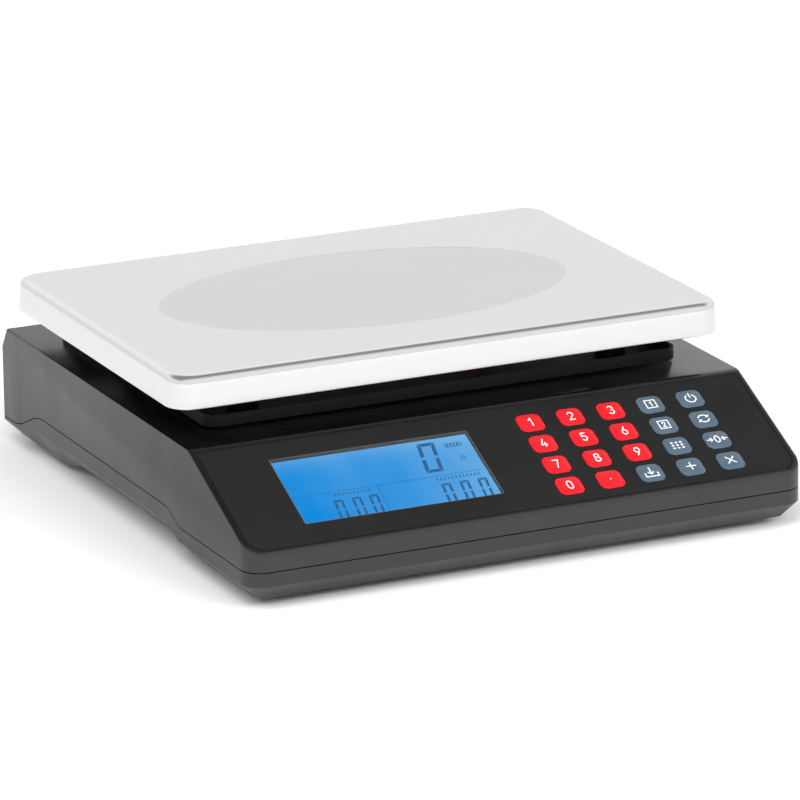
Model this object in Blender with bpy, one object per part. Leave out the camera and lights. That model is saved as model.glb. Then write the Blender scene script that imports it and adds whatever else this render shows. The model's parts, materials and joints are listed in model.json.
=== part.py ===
"""Price-computing bench scale: moulded casing, slanted display and keypad panel, steel pan on a load cell.

Metres, +Z up, +Y to the rear. The origin is on the standing surface, under the middle of the casing.
"""

import math

import bmesh
import bpy
from mathutils import Vector

# Casing
BODY_WIDTH = 0.297
BODY_DEPTH = 0.313
FOOT_STANDOFF = 0.004
PLATEAU_HEIGHT = 0.0577
FRONT_EDGE_HEIGHT = 0.0246
PANEL_DEPTH_Y = 0.0702
REAR_BEVEL_Y = 0.0092
REAR_BEVEL_Z = 0.0142
BOTTOM_CHAMFER = 0.0082
FRONT_CORNER_RADIUS = 0.011
REAR_CORNER_RADIUS = 0.004
BEND_RADIUS = 0.010
FRONT_EDGE_RADIUS = 0.003
EDGE_RADIUS = 0.0009
UPPER_WALL = 0.0025
LOWER_WALL = 0.004
FLOOR = 0.0025
GAP = 0.0003
LIP_RISE = 0.0025
SEAM_GAP = 0.0005

# Parting line, as heights over the casing's lower edge
SEAM_FRONT = 0.0154
SEAM_MIDDLE = 0.0218
SEAM_REAR = 0.0100
SEAM_FRONT_RISE = (-0.0780, -0.0560)
SEAM_REAR_DROP = (0.1010, 0.1400)

# Hand grips under both sides
GRIP_FOLD = 0.0139
GRIP_CEILING = 0.0043
GRIP_DEPTH = 0.026
GRIP_CHAMFER = 0.009
GRIP_START = 0.0025
GRIP_FRONT = (-0.0775, -0.0560)
GRIP_REAR_FOLD = (0.1080, 0.1380)
GRIP_REAR_CEILING = (0.0650, 0.1060)

# Panel film, display and keys, measured down the slope from the bend
FILM_HALF_WIDTH = 0.145
FILM_TOP = 0.0037
FILM_BOTTOM = 0.0747
FILM_THICKNESS = 0.0008
RECESS_DEPTH = 0.0011
WINDOW_LEFT = -0.1126
WINDOW_RIGHT = -0.0076
WINDOW_TOP = 0.0145
WINDOW_BOTTOM = 0.0615
LCD_DEPTH = 0.0024
LCD_THICKNESS = 0.0022
BACKLIGHT_THICKNESS = 0.0035
LCD_MARGIN = 0.0018
KEY_FIRST_X = 0.0261
KEY_FIRST_V = 0.0164
KEY_PITCH_X = 0.0219
KEY_PITCH_V = 0.0156
KEY_WIDTH = 0.0132
KEY_DEPTH = 0.0121
KEY_RADIUS = 0.0035
KEY_PROUD = 0.0006
KEY_UNDER = 0.0014
KEY_TRAVEL = 0.0005
KEYPAD_BOARD_THICKNESS = 0.0012
MAIN_BOARD_THICKNESS = 0.0016
MAIN_BOARD_TOP = 0.0087

# Weighing pan and its carrier
PAN_WIDTH = 0.2975
PAN_DEPTH = 0.2118
PAN_CENTRE_Y = 0.0329
PAN_TOP = 0.0927
PAN_FLANGE = 0.016
PAN_SHEET = 0.0008
PAN_CORNER_RADIUS = 0.0135
PAN_EDGE_RADIUS = 0.0025
PAN_CORNER_STEPS = 6
PAN_SIDE_STEPS = 10
DISH_HALF_X = 0.109
DISH_HALF_Y = 0.0675
DISH_DROP = 0.0005
DISH_SLOPE = 0.0030
CARRIER_WIDTH = 0.256
CARRIER_DEPTH = 0.1905
CARRIER_HEIGHT = 0.006
CARRIER_CLEARANCE = 0.0012
CARRIER_WALL = 0.0015
CARRIER_FLOOR = 0.002
CARRIER_RADIUS = 0.008
PILLAR_X = 0.100
PILLAR_Y = 0.074
PILLAR_RADIUS = 0.007
PAD_HEIGHT = 0.003
PAD_RADIUS = 0.0062

# Load cell stack
CELL_LENGTH = 0.130
CELL_WIDTH = 0.030
CELL_HEIGHT = 0.022
CELL_BASE_BLOCK = 0.007
CELL_BLOCK_LENGTH = 0.035
CELL_TOP_GAP = 0.0006
CELL_BOLT_X = (0.038, 0.057)
BOLT_RADIUS = 0.0024
BOLT_HEAD_RADIUS = 0.0042
BOLT_HEAD = 0.0027

# Feet, battery, inlet and screws
FOOT_PLACES = {"front_left": (-0.115, -0.120), "front_right": (0.115, -0.120),
               "rear_left": (-0.108, 0.128), "rear_right": (0.108, 0.128)}
FOOT_PAD_RADIUS = 0.010
STUD_RADIUS = 0.0030
STUD_TOP = 0.022
BOSS_TOP = 0.020
BATTERY_SIZE = (0.102, 0.070, 0.046)
BATTERY_CENTRE = (0.041, 0.101)
JACK_PLACE = (-0.090, 0.030)
JACK_RADIUS = 0.005
JACK_LENGTH = 0.0145
CASE_SCREW_PLACES = {"front_left": (-0.136, -0.095), "front_right": (0.136, -0.095),
                     "rear_left": (-0.112, 0.146), "rear_right": (0.112, 0.146)}
POST_RADIUS = 0.0045
POST_SPLIT = 0.030
POST_TOP = {"front_left": 0.0535, "front_right": 0.0535, "rear_left": 0.0555, "rear_right": 0.0555}
PILOT_RADIUS = 0.0017
SCREW_HEAD_RADIUS = 0.0028
SCREW_HEAD_TOP = 0.0087
SCREW_RADIUS = 0.0013
BOSS_RADIUS = 0.006
HATCH_MARGIN = 0.004
HATCH_LEDGE = 0.002
COVER_THICKNESS = 0.001
COVER_SCREW_HOLE = 0.0009
CABLE_RADIUS = 0.0016
CABLE_ROUTE = ((0.0656, 0.033, 0.025), (0.070, 0.033, 0.0248), (0.0765, 0.028, 0.020),
               (0.080, 0.012, 0.014), (0.080, -0.020, 0.0125), (0.078, -0.055, 0.014),
               (0.074, -0.080, 0.022), (0.072, -0.098, 0.034), (0.071, -0.1035, 0.0395))

FRONT = -BODY_DEPTH / 2
REAR = BODY_DEPTH / 2
HALF_WIDTH = BODY_WIDTH / 2
BASE = FOOT_STANDOFF
PLATEAU = BASE + PLATEAU_HEIGHT
BEND_Y = FRONT + PANEL_DEPTH_Y
PANEL_ANGLE = math.atan2(PLATEAU_HEIGHT - FRONT_EDGE_HEIGHT, PANEL_DEPTH_Y)
CARRIER_BOTTOM = PLATEAU + CARRIER_CLEARANCE
CARRIER_TOP = CARRIER_BOTTOM + CARRIER_HEIGHT
PILLAR_TOP = PAN_TOP - PAN_SHEET - 2 * GAP - PAD_HEIGHT
CELL_BOTTOM = BASE + FLOOR + 2 * GAP + CELL_BASE_BLOCK
CELL_TOP = CELL_BOTTOM + CELL_HEIGHT

RED = (0.82, 0.02, 0.03)
SLATE = (0.09, 0.14, 0.20)
BLACK = (0.016, 0.016, 0.017)
KEY_ROWS = (("1", "2", "3", "memory_1", "power"),
            ("4", "5", "6", "memory_2", "mode"),
            ("7", "8", "9", "pieces", "tare"),
            ("0", "point", "save", "add", "clear"))


def clear_scene():
    for item in list(bpy.data.objects):
        bpy.data.objects.remove(item, do_unlink=True)


def material(name, colour, roughness, metallic=0.0):
    made = bpy.data.materials.new(name)
    made.use_nodes = True
    shader = made.node_tree.nodes["Principled BSDF"]
    shader.inputs["Base Color"].default_value = (*colour, 1.0)
    shader.inputs["Roughness"].default_value = roughness
    shader.inputs["Metallic"].default_value = metallic
    made.diffuse_color = (*colour, 1.0)
    return made


def add_object(name, bm, finish=None, parent=None, location=(0, 0, 0), rotation=(0, 0, 0)):
    bmesh.ops.recalc_face_normals(bm, faces=bm.faces[:])
    mesh = bpy.data.meshes.new(name)
    bm.to_mesh(mesh)
    bm.free()
    made = bpy.data.objects.new(name, mesh)
    bpy.context.collection.objects.link(made)
    if finish:
        mesh.materials.append(finish)
    made.parent = parent
    made.location = location
    made.rotation_euler = rotation
    return made


def as_cutter(made):
    made.hide_render = True
    made.display_type = "WIRE"
    return made


def combine(target, other, operation="DIFFERENCE"):
    step = target.modifiers.new(f"{operation.lower()}_{other.name}", "BOOLEAN")
    step.operation = operation
    step.solver = "EXACT"
    step.object = as_cutter(other)


def round_shading(made):
    made.data.shade_smooth()
    made.data.set_sharp_from_angle(angle=math.radians(35))


def rectangle(width, depth, radius, centre=(0.0, 0.0), steps=6):
    """Outline of a rectangle with round corners, counter-clockwise."""
    points = []
    for quarter, (sx, sy) in enumerate(((1, 1), (-1, 1), (-1, -1), (1, -1))):
        for step in range(steps + 1):
            angle = math.radians(90 * (quarter + step / steps))
            points.append((centre[0] + sx * (width / 2 - radius) + radius * math.cos(angle),
                           centre[1] + sy * (depth / 2 - radius) + radius * math.sin(angle)))
    return points


def stack(rings):
    """A closed solid through rings of points (outline, height), capped at both ends."""
    bm = bmesh.new()
    loops = [[bm.verts.new((x, y, z)) for x, y in outline] for outline, z in rings]
    count = len(loops[0])
    for lower, upper in zip(loops, loops[1:]):
        for i in range(count):
            j = (i + 1) % count
            bm.faces.new((lower[i], lower[j], upper[j], upper[i]))
    bm.faces.new(loops[0][::-1])
    bm.faces.new(loops[-1])
    return bm


def slab(outline, low, high):
    return stack([(outline, low), (outline, high)])


def box(low, high):
    centre = ((low[0] + high[0]) / 2, (low[1] + high[1]) / 2)
    x, y = (high[0] - low[0]) / 2, (high[1] - low[1]) / 2
    corners = [(centre[0] - x, centre[1] - y), (centre[0] + x, centre[1] - y),
               (centre[0] + x, centre[1] + y), (centre[0] - x, centre[1] + y)]
    return slab(corners, low[2], high[2])


def circle(radius, centre=(0.0, 0.0), steps=20):
    turns = [2 * math.pi * i / steps for i in range(steps)]
    return [(centre[0] + radius * math.cos(t), centre[1] + radius * math.sin(t)) for t in turns]


def turned(profile, centre=(0.0, 0.0), steps=20):
    """A closed turned solid from (radius, height) pairs."""
    return stack([(circle(radius, centre, steps), z) for radius, z in profile])


def extruded_along_x(outline, low, high):
    """A prism along X from (y, z) points."""
    bm = bmesh.new()
    ends = [[bm.verts.new((x, y, z)) for y, z in outline] for x in (low, high)]
    count = len(outline)
    for i in range(count):
        j = (i + 1) % count
        bm.faces.new((ends[0][i], ends[0][j], ends[1][j], ends[1][i]))
    bm.faces.new(ends[0][::-1])
    bm.faces.new(ends[1])
    return bm


def ramp(value, start, end):
    """0 before start, 1 after end, and a smooth S between them."""
    t = min(max((value - start) / (end - start), 0.0), 1.0)
    return t * t * (3 - 2 * t)


def seam_height(y):
    rise = ramp(y, *SEAM_FRONT_RISE)
    drop = ramp(y, *SEAM_REAR_DROP)
    return BASE + SEAM_FRONT + (SEAM_MIDDLE - SEAM_FRONT) * rise + (SEAM_REAR - SEAM_MIDDLE) * drop


def spread(start, end, steps):
    return [start + (end - start) * i / steps for i in range(steps + 1)]


def slice_off(bm, normal, distance):
    """Removes what lies beyond the plane normal . p = distance and closes the cut."""
    normal = Vector(normal).normalized()
    geometry = bm.verts[:] + bm.edges[:] + bm.faces[:]
    cut = bmesh.ops.bisect_plane(bm, geom=geometry, dist=1e-7, plane_co=normal * distance, plane_no=normal,
                                 clear_outer=True)
    edges = [item for item in cut["geom_cut"] if isinstance(item, bmesh.types.BMEdge)]
    if len(edges) > 2:
        bmesh.ops.edgeloop_fill(bm, edges=edges)


def rounding(first, second, radius, steps):
    """Planes tangent to the round edge between two planes, each a (normal, distance) pair."""
    n1, d1 = Vector(first[0]).normalized(), first[1] - radius
    n2, d2 = Vector(second[0]).normalized(), second[1] - radius
    dot = n1.dot(n2)
    a = (d1 - dot * d2) / (1 - dot * dot)
    b = (d2 - dot * d1) / (1 - dot * dot)
    axis = n1 * a + n2 * b
    planes = []
    for i in range(1, steps + 1):
        normal = n1.slerp(n2, i / (steps + 1))
        planes.append((normal, normal.dot(axis) + radius))
    return planes


def casing_block(inset=0.0, floor_inset=None, round_edges=False):
    """The casing's convex outer shape, or one inset from it on every side."""
    floor_inset = inset if floor_inset is None else floor_inset
    slope, rise = math.cos(PANEL_ANGLE), math.sin(PANEL_ANGLE)
    tilt = math.atan2(REAR_BEVEL_Z, REAR_BEVEL_Y)
    panel_normal = Vector((0, -rise, slope))
    rear_normal = Vector((0, math.sin(tilt), math.cos(tilt)))
    front = ((0, -1, 0), -FRONT - inset)
    rear = ((0, 1, 0), REAR - inset)
    top = ((0, 0, 1), PLATEAU - inset)
    panel = (panel_normal, panel_normal.dot(Vector((0, BEND_Y, PLATEAU))) - inset)
    slant = (rear_normal, rear_normal.dot(Vector((0, REAR - REAR_BEVEL_Y, PLATEAU))) - inset)
    sides = [((side, 0, 0), HALF_WIDTH - inset) for side in (-1, 1)]
    planes = [panel, slant]
    planes += rounding(top, panel, BEND_RADIUS, 3)
    planes += rounding(front, panel, FRONT_EDGE_RADIUS, 3)
    walls = [front, rear, *sides]
    for side in sides:
        walls += rounding(side, front, max(FRONT_CORNER_RADIUS - inset, 0.002), 6)
        walls += rounding(side, rear, max(REAR_CORNER_RADIUS - inset, 0.001), 3)
    planes += walls[4:]
    for normal, distance in walls:
        outward = Vector((*Vector(normal).normalized()[:2], -1))
        foot = BASE + BOTTOM_CHAMFER
        planes.append((outward, (distance + inset - foot) / math.sqrt(2) - inset))
    reach = (HALF_WIDTH - inset, (REAR - inset), PLATEAU - inset)
    bm = box((-reach[0], FRONT + inset, BASE + floor_inset), reach)
    for normal, distance in planes:
        slice_off(bm, normal, distance)
    bmesh.ops.remove_doubles(bm, verts=bm.verts[:], dist=1e-6)
    if round_edges:
        bm.normal_update()
        sharp = [edge for edge in bm.edges if is_top_rim(edge)]
        bmesh.ops.bevel(bm, geom=sharp, offset=EDGE_RADIUS, segments=2, profile=0.5, affect="EDGES")
    return bm


def is_top_rim(edge):
    """True between an upright wall and the surfaces above it."""
    if edge.calc_face_angle(0.0) < math.radians(30):
        return False
    heights = sorted(face.normal.z for face in edge.link_faces)
    return abs(heights[0]) < 0.05 and heights[1] > 0.2


def seam_stations():
    return [FRONT - 0.02, *spread(*SEAM_FRONT_RISE, 8), *spread(*SEAM_REAR_DROP, 8), REAR + 0.02]


def seam_cutter(name, shift, upwards):
    """Everything over the parting line, or everything under it, moved by shift."""
    line = [(y, seam_height(y) + shift) for y in seam_stations()]
    far = PLATEAU + 0.05 if upwards else BASE - 0.05
    outline = line + [(REAR + 0.02, far), (FRONT - 0.02, far)]
    return add_object(name, extruded_along_x(outline, -BODY_WIDTH, BODY_WIDTH))


def grip_cutter(name, side, margin=0.0):
    """The scoop under one side, as a loft of cross-sections along Y."""
    bm = bmesh.new()
    stations = [FRONT - 0.01, *spread(*GRIP_FRONT, 6), *spread(*GRIP_REAR_CEILING, 6),
                *spread(*GRIP_REAR_FOLD, 6), REAR + 0.01]
    outer, inner = HALF_WIDTH, HALF_WIDTH - GRIP_DEPTH - margin
    below = -0.006
    loops = []
    for y in sorted(stations):
        rise = ramp(y, *GRIP_FRONT)
        fold = rise * (1 - ramp(y, *GRIP_REAR_FOLD))
        roof = rise * (1 - ramp(y, *GRIP_REAR_CEILING))
        fold_z = BASE + (BOTTOM_CHAMFER - 0.0012) + (GRIP_FOLD - BOTTOM_CHAMFER + 0.0012) * fold
        roof_z = BASE - GRIP_START + (GRIP_CEILING + GRIP_START) * roof
        fold_z += 1.4 * margin
        roof_z += margin * (1.0 if roof > 0 else 0.0)
        run = GRIP_CHAMFER
        lift = (fold_z - roof_z) / run * 0.002
        section = [(outer + 0.002, fold_z + lift), (outer - run, roof_z), (inner, roof_z - 0.0001),
                   (inner, BASE + below), (outer + 0.002, BASE + below)]
        loops.append([bm.verts.new((side * x, y, z)) for x, z in section])
    for near, far in zip(loops, loops[1:]):
        for i in range(5):
            j = (i + 1) % 5
            bm.faces.new((near[i], near[j], far[j], far[i]))
    bm.faces.new(loops[0][::-1])
    bm.faces.new(loops[-1])
    return add_object(name, bm)


def add_panel_frame():
    """Empty on the bend line: its local -Y runs down the slanted panel and +Z is the panel's normal."""
    frame = bpy.data.objects.new("panel_frame", None)
    bpy.context.collection.objects.link(frame)
    frame.location = (0, BEND_Y, PLATEAU)
    frame.rotation_euler = (PANEL_ANGLE, 0, 0)
    return frame


def panel_rectangle(left, right, top, bottom, radius, steps=4):
    return rectangle(right - left, bottom - top, radius, ((left + right) / 2, -(top + bottom) / 2), steps)


def film_outline(grow=0.0):
    """The film's outline: small corners at the top and large ones at the bottom."""
    half, top, bottom = FILM_HALF_WIDTH + grow, -FILM_TOP + grow, -FILM_BOTTOM - grow
    points = []
    for quarter, (sx, edge, radius) in enumerate(((1, top, 0.003), (-1, top, 0.003),
                                                  (-1, bottom, 0.009), (1, bottom, 0.009))):
        radius += grow
        for step in range(7):
            angle = math.radians(90 * (quarter + step / 6))
            centre_y = edge - radius if edge == top else edge + radius
            points.append((sx * (half - radius) + radius * math.cos(angle),
                           centre_y + radius * math.sin(angle)))
    return points


def key_places():
    for row, names in enumerate(KEY_ROWS):
        for column, name in enumerate(names):
            yield name, KEY_FIRST_X + column * KEY_PITCH_X, -(KEY_FIRST_V + row * KEY_PITCH_V)


def keypad_area(grow):
    left = KEY_FIRST_X - KEY_WIDTH / 2 - grow
    right = KEY_FIRST_X + 4 * KEY_PITCH_X + KEY_WIDTH / 2 + grow
    top = KEY_FIRST_V - KEY_DEPTH / 2 - grow
    bottom = KEY_FIRST_V + 3 * KEY_PITCH_V + KEY_DEPTH / 2 + grow
    return left, right, top, bottom


def window_area(grow):
    return WINDOW_LEFT - grow, WINDOW_RIGHT + grow, WINDOW_TOP - grow, WINDOW_BOTTOM + grow


def make_upper_housing(frame, finish):
    housing = add_object("upper_housing", casing_block(round_edges=True), finish)
    combine(housing, add_object("upper_cavity", casing_block(UPPER_WALL, floor_inset=-0.01)))
    combine(housing, seam_cutter("below_upper", SEAM_GAP / 2, upwards=False))
    for place, (x, y) in CASE_SCREW_PLACES.items():
        post = turned([(POST_RADIUS, POST_SPLIT + GAP), (POST_RADIUS, POST_TOP[place])], (x, y))
        combine(housing, add_object(f"post_{place}", post), "UNION")
        pilot = turned([(PILOT_RADIUS, POST_SPLIT - 0.002), (PILOT_RADIUS, POST_SPLIT + 0.013)], (x, y), 12)
        combine(housing, add_object(f"pilot_{place}", pilot))
    recess = slab(film_outline(GAP), -RECESS_DEPTH, 0.01)
    combine(housing, add_object("film_recess", recess, parent=frame))
    display = slab(panel_rectangle(*window_area(LCD_MARGIN + GAP), 0.001), -0.0135, 0.005)
    combine(housing, add_object("display_opening", display, parent=frame))
    keypad = slab(panel_rectangle(*keypad_area(0.0018), 0.002), -0.006, 0.005)
    combine(housing, add_object("keypad_opening", keypad, parent=frame))
    well = slab(rectangle(0.046, 0.040, 0.004, (0.0475, PAN_CENTRE_Y)), PLATEAU - 0.006, PLATEAU + 0.01)
    combine(housing, add_object("load_opening", well))
    bore = turned([(JACK_RADIUS + GAP, 0.0), (JACK_RADIUS + GAP, 0.03)])
    combine(housing, add_object("jack_opening", bore, location=(JACK_PLACE[0], REAR + 0.01, JACK_PLACE[1]),
                                rotation=(math.radians(90), 0, 0)))


def make_lower_housing(finish):
    housing = add_object("lower_housing", casing_block(), finish)
    combine(housing, seam_cutter("above_lower", -SEAM_GAP / 2, upwards=True))
    lip = add_object("lip_block", casing_block(UPPER_WALL + GAP))
    combine(lip, seam_cutter("above_lip", LIP_RISE, upwards=True))
    combine(housing, lip, "UNION")
    cavity = add_object("lower_cavity", casing_block(LOWER_WALL, floor_inset=FLOOR))
    for side in (-1, 1):
        combine(cavity, grip_cutter(f"grip_backing_{side}", side, FLOOR))
    combine(housing, cavity)
    for side in (-1, 1):
        combine(housing, grip_cutter(f"grip_{side}", side))
    for place, (x, y) in FOOT_PLACES.items():
        boss = turned([(BOSS_RADIUS, BASE + 0.001), (BOSS_RADIUS, BOSS_TOP)], (x, y))
        combine(housing, add_object(f"foot_boss_{place}", boss), "UNION")
        bore = STUD_RADIUS + GAP
        hole = turned([(bore, BASE - 0.01), (bore, BOSS_TOP + 0.01)], (x, y), 16)
        combine(housing, add_object(f"foot_hole_{place}", hole))
    for place, (x, y) in CASE_SCREW_PLACES.items():
        boss = turned([(POST_RADIUS, BASE + 0.001), (POST_RADIUS, POST_SPLIT)], (x, y))
        combine(housing, add_object(f"screw_boss_{place}", boss), "UNION")
        wide, narrow = SCREW_HEAD_RADIUS + GAP, SCREW_RADIUS + 2 * GAP
        shoulder = SCREW_HEAD_TOP + GAP
        steps = [(wide, BASE - 0.01), (wide, shoulder), (narrow, shoulder), (narrow, POST_SPLIT + 0.01)]
        combine(housing, add_object(f"screw_hole_{place}", turned(steps, (x, y), 16)))
    for index, x in enumerate(CELL_BOLT_X):
        bolt_hole(housing, f"cell_hole_{index}", -x, BASE - 0.01, BASE + 0.01)
    combine(housing, add_object("battery_hatch", battery_opening(HATCH_LEDGE, 0.01)))
    combine(housing, add_object("battery_rebate", battery_opening(0.0, COVER_THICKNESS + GAP)))
    combine(housing, add_object("cover_thread", cover_screw_hole()))


def battery_outline(grow):
    width, depth = BATTERY_SIZE[0] + 2 * grow, BATTERY_SIZE[1] + 2 * grow
    return rectangle(width, depth, 0.003, BATTERY_CENTRE, 3)


def battery_opening(ledge, height):
    return slab(battery_outline(HATCH_MARGIN - ledge), BASE - 0.01, BASE + height)


def cover_screw_place():
    return BATTERY_CENTRE[0], BATTERY_CENTRE[1] - BATTERY_SIZE[1] / 2 - 0.0021


def cover_screw_hole():
    return turned([(COVER_SCREW_HOLE, BASE - 0.01), (COVER_SCREW_HOLE, BASE + 0.01)], cover_screw_place(), 12)


def make_front_overlay(frame, finish):
    film = add_object("front_overlay", slab(film_outline(), -FILM_THICKNESS, 0.0), finish, frame)
    window = slab(panel_rectangle(*window_area(0.0), 0.0008), -0.002, 0.001)
    combine(film, add_object("film_window", window, parent=frame))
    for name, x, y in key_places():
        outline = rectangle(KEY_WIDTH + 2 * GAP, KEY_DEPTH + 2 * GAP, KEY_RADIUS + GAP, steps=4)
        hole = add_object(f"film_hole_{name}", slab(outline, -0.002, 0.001), parent=frame, location=(x, y, 0))
        combine(film, hole)


def make_keys(frame, red, slate):
    wide = rectangle(KEY_WIDTH, KEY_DEPTH, KEY_RADIUS, steps=4)
    soft = rectangle(KEY_WIDTH - 0.0008, KEY_DEPTH - 0.0008, KEY_RADIUS - 0.0004, steps=4)
    crown = rectangle(KEY_WIDTH - 0.0030, KEY_DEPTH - 0.0030, KEY_RADIUS - 0.0015, steps=4)
    for name, x, y in key_places():
        numeric = name.isdigit() or name == "point"
        body = stack([(wide, -KEY_UNDER), (wide, 0.0001), (soft, 0.6 * KEY_PROUD), (crown, KEY_PROUD)])
        add_object(f"key_{name}", body, red if numeric else slate, frame, (x, y, 0))


def make_display(frame, lens_finish, lcd_finish, light_finish):
    lens = slab(panel_rectangle(*window_area(-GAP), 0.0006), -FILM_THICKNESS - 0.0001, -0.0001)
    add_object("display_lens", lens, lens_finish, frame)
    outline = panel_rectangle(*window_area(LCD_MARGIN), 0.0006)
    low = -LCD_DEPTH - LCD_THICKNESS
    add_object("lcd_panel", slab(outline, low, -LCD_DEPTH), lcd_finish, frame)
    light = slab(outline, low - GAP - BACKLIGHT_THICKNESS, low - GAP)
    add_object("backlight_panel", light, light_finish, frame)


def make_boards(frame, finish, cable_finish):
    top = -KEY_UNDER - KEY_TRAVEL - GAP
    outline = panel_rectangle(*keypad_area(0.0018 - GAP), 0.0017)
    add_object("keypad_board", slab(outline, top - KEYPAD_BOARD_THICKNESS, top), finish, frame)
    outline = panel_rectangle(-0.120, 0.126, 0.011, 0.069, 0.002)
    board = slab(outline, -MAIN_BOARD_TOP - MAIN_BOARD_THICKNESS, -MAIN_BOARD_TOP)
    add_object("main_board", board, finish, frame)
    high, low, thick = top - KEYPAD_BOARD_THICKNESS - GAP, -MAIN_BOARD_TOP + GAP, 0.0004
    fold = [(-0.055, high), (-0.040, high), (-0.040, high - thick), (-0.0546, high - thick),
            (-0.0546, low + thick), (-0.040, low + thick), (-0.040, low), (-0.055, low)]
    add_object("keypad_ribbon", extruded_along_x(fold, 0.060, 0.080), cable_finish, frame)


def pan_ring(inset):
    """The pan's outline, moved inwards, with its straight sides divided to meet the oval pressing."""
    corners = rectangle(PAN_WIDTH - 2 * inset, PAN_DEPTH - 2 * inset, PAN_CORNER_RADIUS - inset,
                        (0.0, PAN_CENTRE_Y), PAN_CORNER_STEPS)
    points = []
    for index, (x, y) in enumerate(corners):
        points.append((x, y))
        if index % (PAN_CORNER_STEPS + 1) == PAN_CORNER_STEPS:
            far_x, far_y = corners[(index + 1) % len(corners)]
            points += [(x + (far_x - x) * i / PAN_SIDE_STEPS, y + (far_y - y) * i / PAN_SIDE_STEPS)
                       for i in range(1, PAN_SIDE_STEPS)]
    return points


def dish_ring(inset):
    """The oval pressing, with one point opposite each point of the pan's edge."""
    points = []
    for x, y in pan_ring(0.0):
        angle = math.atan2((y - PAN_CENTRE_Y) / DISH_HALF_Y, x / DISH_HALF_X)
        points.append(((DISH_HALF_X - inset) * math.cos(angle),
                       PAN_CENTRE_Y + (DISH_HALF_Y - inset) * math.sin(angle)))
    return points


def make_weighing_pan(finish):
    bottom, radius, sheet = PAN_TOP - PAN_FLANGE, PAN_EDGE_RADIUS, PAN_SHEET
    rings = [(dish_ring(DISH_SLOPE), PAN_TOP - DISH_DROP), (dish_ring(0.0), PAN_TOP)]
    angles = [math.radians(30 * step) for step in range(4)]
    rings += [(pan_ring(radius * (1 - math.sin(a))), PAN_TOP - radius * (1 - math.cos(a))) for a in angles]
    rings.append((pan_ring(0.0), bottom))
    inner = radius - sheet
    rings.append((pan_ring(sheet), bottom))
    rings += [(pan_ring(sheet + inner * (1 - math.sin(a))), PAN_TOP - sheet - inner * (1 - math.cos(a)))
              for a in reversed(angles)]
    rings += [(dish_ring(0.0), PAN_TOP - sheet), (dish_ring(DISH_SLOPE), PAN_TOP - sheet - DISH_DROP)]
    round_shading(add_object("weighing_pan", stack(rings), finish))


def make_carrier(finish, pad_finish):
    centre = (0.0, PAN_CENTRE_Y)
    outer = rectangle(CARRIER_WIDTH, CARRIER_DEPTH, CARRIER_RADIUS, centre)
    inner = rectangle(CARRIER_WIDTH - 2 * CARRIER_WALL, CARRIER_DEPTH - 2 * CARRIER_WALL,
                      CARRIER_RADIUS - CARRIER_WALL, centre)
    deck = CARRIER_BOTTOM + CARRIER_FLOOR
    carrier = add_object("pan_support", stack([(outer, CARRIER_BOTTOM), (outer, CARRIER_TOP),
                                               (inner, CARRIER_TOP), (inner, deck)]), finish)
    for sx in (-1, 1):
        for sy in (-1, 1):
            place = (sx * PILLAR_X, PAN_CENTRE_Y + sy * PILLAR_Y)
            tag = f"{'rear' if sy > 0 else 'front'}_{'right' if sx > 0 else 'left'}"
            foot = (PILLAR_RADIUS + 0.001, CARRIER_BOTTOM + 0.001)
            pillar = turned([foot, (PILLAR_RADIUS, PILLAR_TOP)], place)
            combine(carrier, add_object(f"pillar_{tag}", pillar), "UNION")
            low = PILLAR_TOP + GAP
            pad = turned([(PAD_RADIUS, low), (PAD_RADIUS, low + PAD_HEIGHT - 0.0006),
                          (PAD_RADIUS - 0.0006, low + PAD_HEIGHT)], place)
            round_shading(add_object(f"pan_pad_{tag}", pad, pad_finish))
    for index, x in enumerate(CELL_BOLT_X):
        bolt_hole(carrier, f"carrier_hole_{index}", x, CARRIER_BOTTOM - 0.01, deck + 0.01)


def bolt_hole(target, name, x, low, high):
    hole = turned([(BOLT_RADIUS + GAP, low), (BOLT_RADIUS + GAP, high)], (x, PAN_CENTRE_Y), 16)
    combine(target, add_object(name, hole))


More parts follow.
